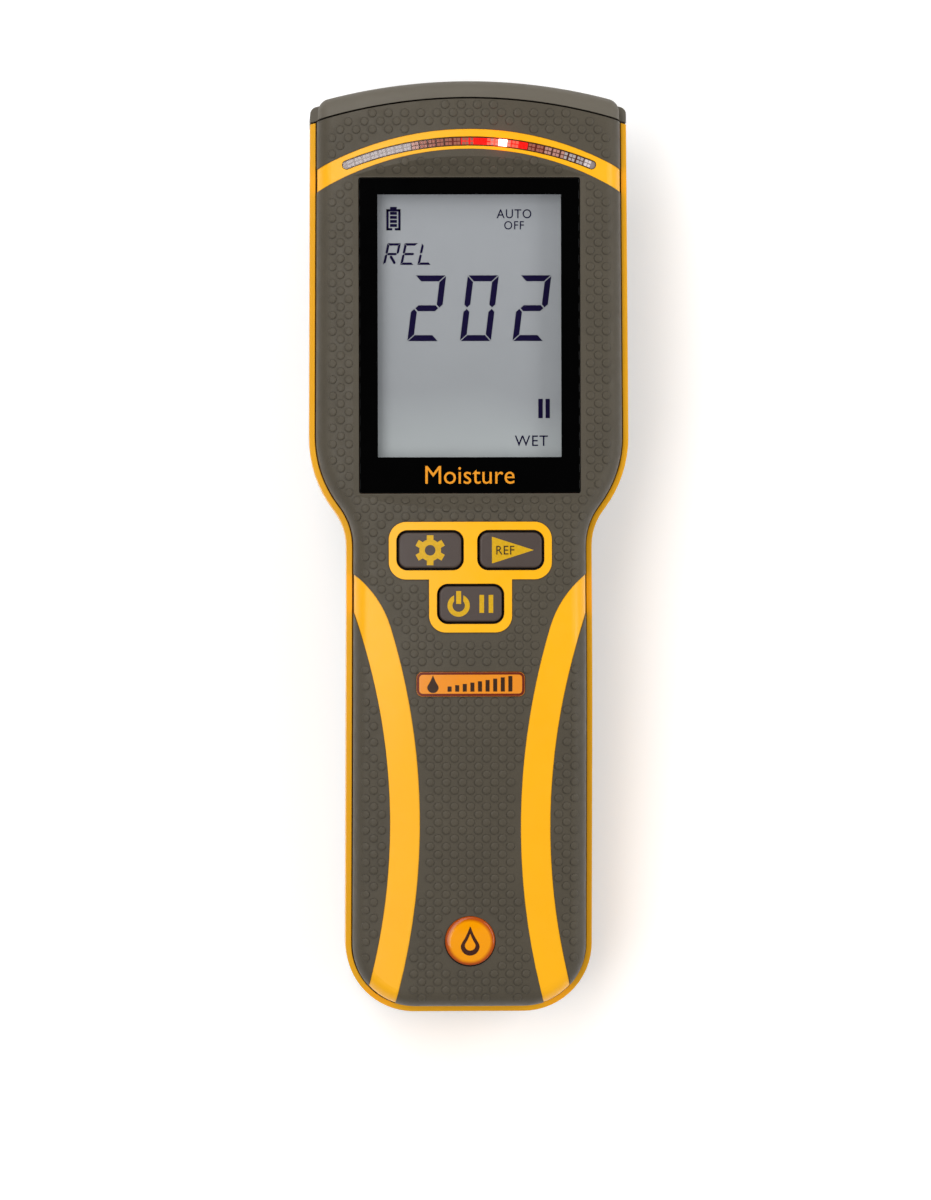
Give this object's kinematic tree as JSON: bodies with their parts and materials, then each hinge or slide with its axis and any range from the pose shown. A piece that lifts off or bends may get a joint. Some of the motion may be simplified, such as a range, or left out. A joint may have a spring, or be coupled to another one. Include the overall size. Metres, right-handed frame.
{
  "type": "moisture meter",
  "caption": "Hand-held pinless moisture meter with a sensor pad behind its head, a large display, a light bar, press keys and a battery door in its leaning handle.",
  "frame": {"origin": "on the surface the meter lies on, under the middle of its length and width", "axes": "+X to the right of the display, +Y towards the sensor end, +Z out of the display"},
  "size_m": [0.0696, 0.203, 0.048],
  "materials": {
    "yellow_plastic": "satin moulded plastic, fine spark texture",
    "grip_rubber": "soft overmould, fine texture with raised dots",
    "rear_plastic": "satin moulded plastic",
    "housing_plastic": "fine spark texture",
    "window_glass": "clear acrylic window with a black printed border",
    "black_foam": "closed-cell foam",
    "lcd": "reflective monochrome LCD",
    "white_plastic": "moulded plastic",
    "silicone": "soft silicone",
    "lens_plastic": "smoked translucent light guide",
    "lamp": "small surface-mounted lights",
    "circuit_board": "green solder mask",
    "ribbon": "amber flexible circuit",
    "key_rubber": "soft-touch key tops",
    "key_mark": "yellow print under lacquer",
    "switch_plastic": "moulded plastic",
    "steel": "nickel plated",
    "chip_plastic": "moulded epoxy",
    "copper": "bare copper foil",
    "battery_jacket": "plain printed shrink jacket",
    "tray_plastic": "moulded plastic",
    "lead_insulation": "soft insulation",
    "door_plastic": "fine spark texture",
    "brass": "knurled, machined",
    "badge_orange": "orange plate with a clear domed coat",
    "label_film": "silver film, blank"
  },
  "bodies": {
    "meter": {"front_casing": "yellow_plastic", "front_grip_skin": "grip_rubber", "brow_skin": "grip_rubber", "side_grips": "grip_rubber", "rear_casing": "rear_plastic", "rear_grip_skin": "grip_rubber", "sensor_housing": "housing_plastic", "display_window": "window_glass", "lcd_gasket": "black_foam", "lcd_glass": "lcd", "lcd_backlight": "white_plastic", "lcd_connector_strip": "silicone", "lcd_frame": "white_plastic", "light_bar_lens": "lens_plastic", "light_bar_lamps": "lamp", "light_bar_board": "circuit_board", "light_bar_lead": "ribbon", "key_guide": "white_plastic", "switch_bodies": "switch_plastic", "main_board": "circuit_board", "board_screws": "steel", "microcontroller": "chip_plastic", "board_components": "chip_plastic", "buzzer": "chip_plastic", "sensor_electrodes": "copper", "sensor_board": "circuit_board", "sensor_frame": "white_plastic", "sensor_ribbon": "ribbon", "battery_left": "battery_jacket", "battery_right": "battery_jacket", "battery_tray": "tray_plastic", "contact_plates": "steel", "bridge_plate": "steel", "battery_springs": "steel", "battery_leads": "lead_insulation", "door_gasket": "silicone", "threaded_insert": "brass", "nameplate": "badge_orange", "round_badge": "badge_orange", "rear_label": "label_film", "casing_screws": "steel", "casing_seal": "silicone"},
    "settings_key": {"settings_key": "key_rubber", "settings_key_mark": "key_mark", "settings_switch_plunger": "switch_plastic"},
    "reference_key": {"reference_key": "key_rubber", "reference_key_mark": "key_mark", "reference_switch_plunger": "switch_plastic"},
    "power_key": {"power_key": "key_rubber", "power_key_mark": "key_mark", "power_switch_plunger": "switch_plastic"},
    "door": {"battery_door": "door_plastic"},
    "door_screw": {"door_screw": "steel", "screw_retaining_ring": "steel"}
  },
  "joints": [
    {"name": "settings_key_press", "type": "slide", "parent": "meter", "child": "settings_key", "axis": [0, 0, -1], "range_m": [0, 0.0008], "stiffness_N_per_m": 1800, "springref_m": -0.0006},
    {"name": "reference_key_press", "type": "slide", "parent": "meter", "child": "reference_key", "axis": [0, 0, -1], "range_m": [0, 0.0008], "stiffness_N_per_m": 1800, "springref_m": -0.0006},
    {"name": "power_key_press", "type": "slide", "parent": "meter", "child": "power_key", "axis": [0, 0, -1], "range_m": [0, 0.0008], "stiffness_N_per_m": 1800, "springref_m": -0.0006},
    {"name": "door_hinge", "type": "hinge", "parent": "meter", "child": "door", "pos_m": [0, -0.09237, 0.00257], "axis": [-1, 0, 0], "range_deg": [0, 60]},
    {"name": "door_screw_turn", "type": "hinge", "parent": "door", "child": "door_screw", "pos_m": [0, -0.02719, 0.01183], "axis": [0, -0.1736, 0.9848], "continuous": true}
  ]
}
